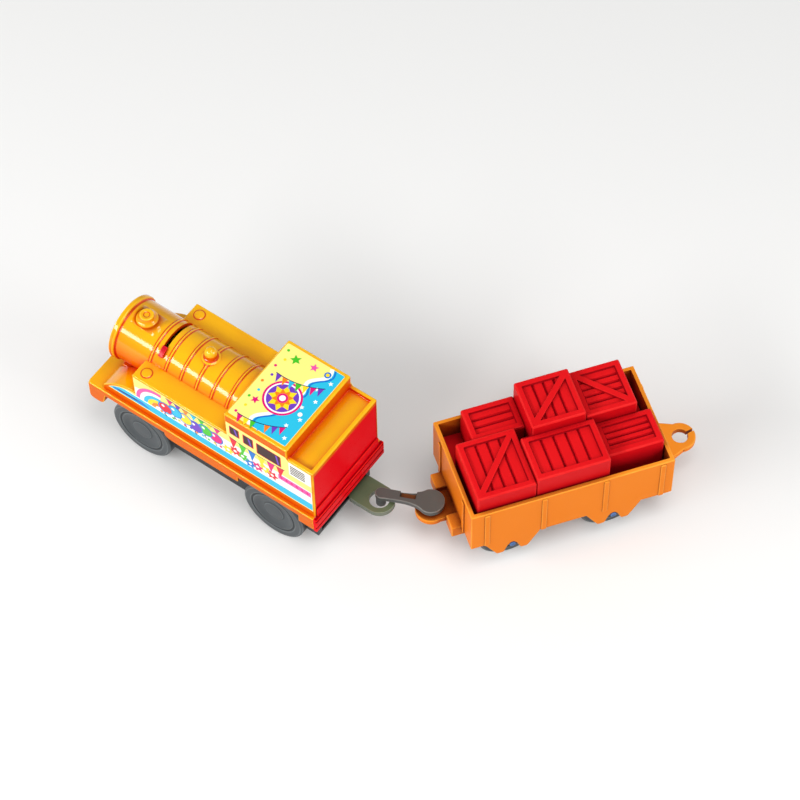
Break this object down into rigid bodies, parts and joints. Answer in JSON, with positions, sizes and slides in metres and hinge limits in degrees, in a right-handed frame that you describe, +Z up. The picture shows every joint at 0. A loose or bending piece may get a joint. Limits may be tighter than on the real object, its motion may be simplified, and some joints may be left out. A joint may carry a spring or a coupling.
{
  "type": "model train",
  "caption": "Battery toy tank locomotive coupled by a link and a sliding hook to an open wagon with a lift-out crate load, standing in a bend.",
  "frame": {"origin": "under the middle of the whole train's box, at the height of the rail that the wheels stand on", "axes": "+X is the way the locomotive drives, +Y its left side and +Z up; the wagon stands turned 53.7 degrees about +Z, as in the bend in the picture"},
  "size_m": [0.1978, 0.1204, 0.0652],
  "materials": {
    "orange_body": "gloss",
    "orange_wagon": "satin gloss",
    "red_plastic": "satin gloss",
    "black_plastic": "satin",
    "grey_plastic": "satin",
    "coupling_grey": "satin",
    "rubber": "matt",
    "steel": "plated",
    "copper": "bare sheet",
    "white_plastic": "satin",
    "cell_sleeve": "printed sleeve",
    "label": "printed film",
    "wire_red": "insulation",
    "wire_black": "insulation",
    "blue_plastic": "satin"
  },
  "bodies": {
    "loco": {"body_shell": "orange_body", "smokebox_door": "orange_body", "rear_panel": "red_plastic", "side_label_left": "label", "side_label_right": "label", "roof_label": "label", "motor_end_cap": "white_plastic", "motor_can": "steel", "motor_strap": "steel", "chassis": "black_plastic", "gear_cover": "black_plastic", "battery_cover": "black_plastic", "hook_keeper": "black_plastic", "idler_pin": "steel", "aa_cell": "cell_sleeve", "battery_contact": "copper", "switch_leaf": "copper", "battery_spring": "steel", "shell_screw_rear": "steel", "shell_screw_left": "steel", "shell_screw_right": "steel", "cover_screw": "steel", "keeper_screw_left": "steel", "keeper_screw_right": "steel", "lead_battery": "wire_red", "lead_switch": "wire_black"},
    "drive_axle": {"rear_axle": "steel", "rear_wheel_left": "grey_plastic", "rear_wheel_right": "grey_plastic", "rear_tyre_left": "rubber", "rear_tyre_right": "rubber", "axle_gear": "white_plastic"},
    "idler": {"idler_gear": "white_plastic"},
    "motor_rotor": {"motor_shaft": "steel", "motor_pinion": "white_plastic"},
    "front_wheel_set": {"front_axle": "steel", "front_wheel_left": "grey_plastic", "front_wheel_right": "grey_plastic"},
    "switch": {"switch_lever": "black_plastic", "switch_tab": "red_plastic"},
    "hook": {"rear_hook": "coupling_grey"},
    "link": {"coupling_link": "coupling_grey", "link_pin": "coupling_grey"},
    "wagon": {"wagon_tray": "orange_wagon"},
    "wagon_rear_wheel_set": {"wagon_rear_axle": "blue_plastic", "wagon_rear_wheel_left": "grey_plastic", "wagon_rear_wheel_right": "grey_plastic"},
    "wagon_front_wheel_set": {"wagon_front_axle": "blue_plastic", "wagon_front_wheel_left": "grey_plastic", "wagon_front_wheel_right": "grey_plastic"},
    "load": {"crate_load": "red_plastic"}
  },
  "joints": [
    {"name": "drive_axle_spin", "type": "hinge", "parent": "loco", "child": "drive_axle", "pos_m": [0.01606, 0.03938, 0.0133], "axis": [0, 1, 0], "continuous": true},
    {"name": "idler_spin", "type": "hinge", "parent": "loco", "child": "idler", "pos_m": [0.01686, 0.03938, 0.02477], "axis": [0, 1, 0], "continuous": true},
    {"name": "motor_spin", "type": "hinge", "parent": "loco", "child": "motor_rotor", "pos_m": [0.01926, 0.03938, 0.03602], "axis": [0, 1, 0], "continuous": true},
    {"name": "front_axle_spin", "type": "hinge", "parent": "loco", "child": "front_wheel_set", "pos_m": [0.07716, 0.03938, 0.0133], "axis": [0, 1, 0], "continuous": true},
    {"name": "switch_turn", "type": "hinge", "parent": "loco", "child": "switch", "pos_m": [0.07156, 0.03938, 0.0473], "axis": [1, 0, 0], "range_deg": [0, 87]},
    {"name": "hook_slide", "type": "slide", "parent": "loco", "child": "hook", "axis": [0, 1, 0], "range_m": [-0.0013, 0.0165]},
    {"name": "link_swing", "type": "hinge", "parent": "hook", "child": "link", "pos_m": [-0.01324, 0.03178, 0], "axis": [0, 0, 1], "range_deg": [-59, 11]},
    {"name": "wagon_swing", "type": "hinge", "parent": "link", "child": "wagon", "pos_m": [-0.03078, 0.02397, 0], "axis": [0, 0, 1], "range_deg": [-65, 14]},
    {"name": "wagon_rear_axle_spin", "type": "hinge", "parent": "wagon", "child": "wagon_rear_wheel_set", "pos_m": [-0.06807, -0.0268, 0.0115], "axis": [-0.8059, 0.592, 0], "continuous": true},
    {"name": "wagon_front_axle_spin", "type": "hinge", "parent": "wagon", "child": "wagon_front_wheel_set", "pos_m": [-0.04499, 0.00463, 0.0115], "axis": [-0.8059, 0.592, 0], "continuous": true},
    {"name": "load_lift", "type": "slide", "parent": "wagon", "child": "load", "axis": [0, 0, 1], "range_m": [0, 0.045]}
  ],
  "couplings": [
    {"joint": "idler_spin", "follows": "drive_axle_spin", "ratio": -2.2857},
    {"joint": "motor_spin", "follows": "drive_axle_spin", "ratio": 8.2286}
  ]
}
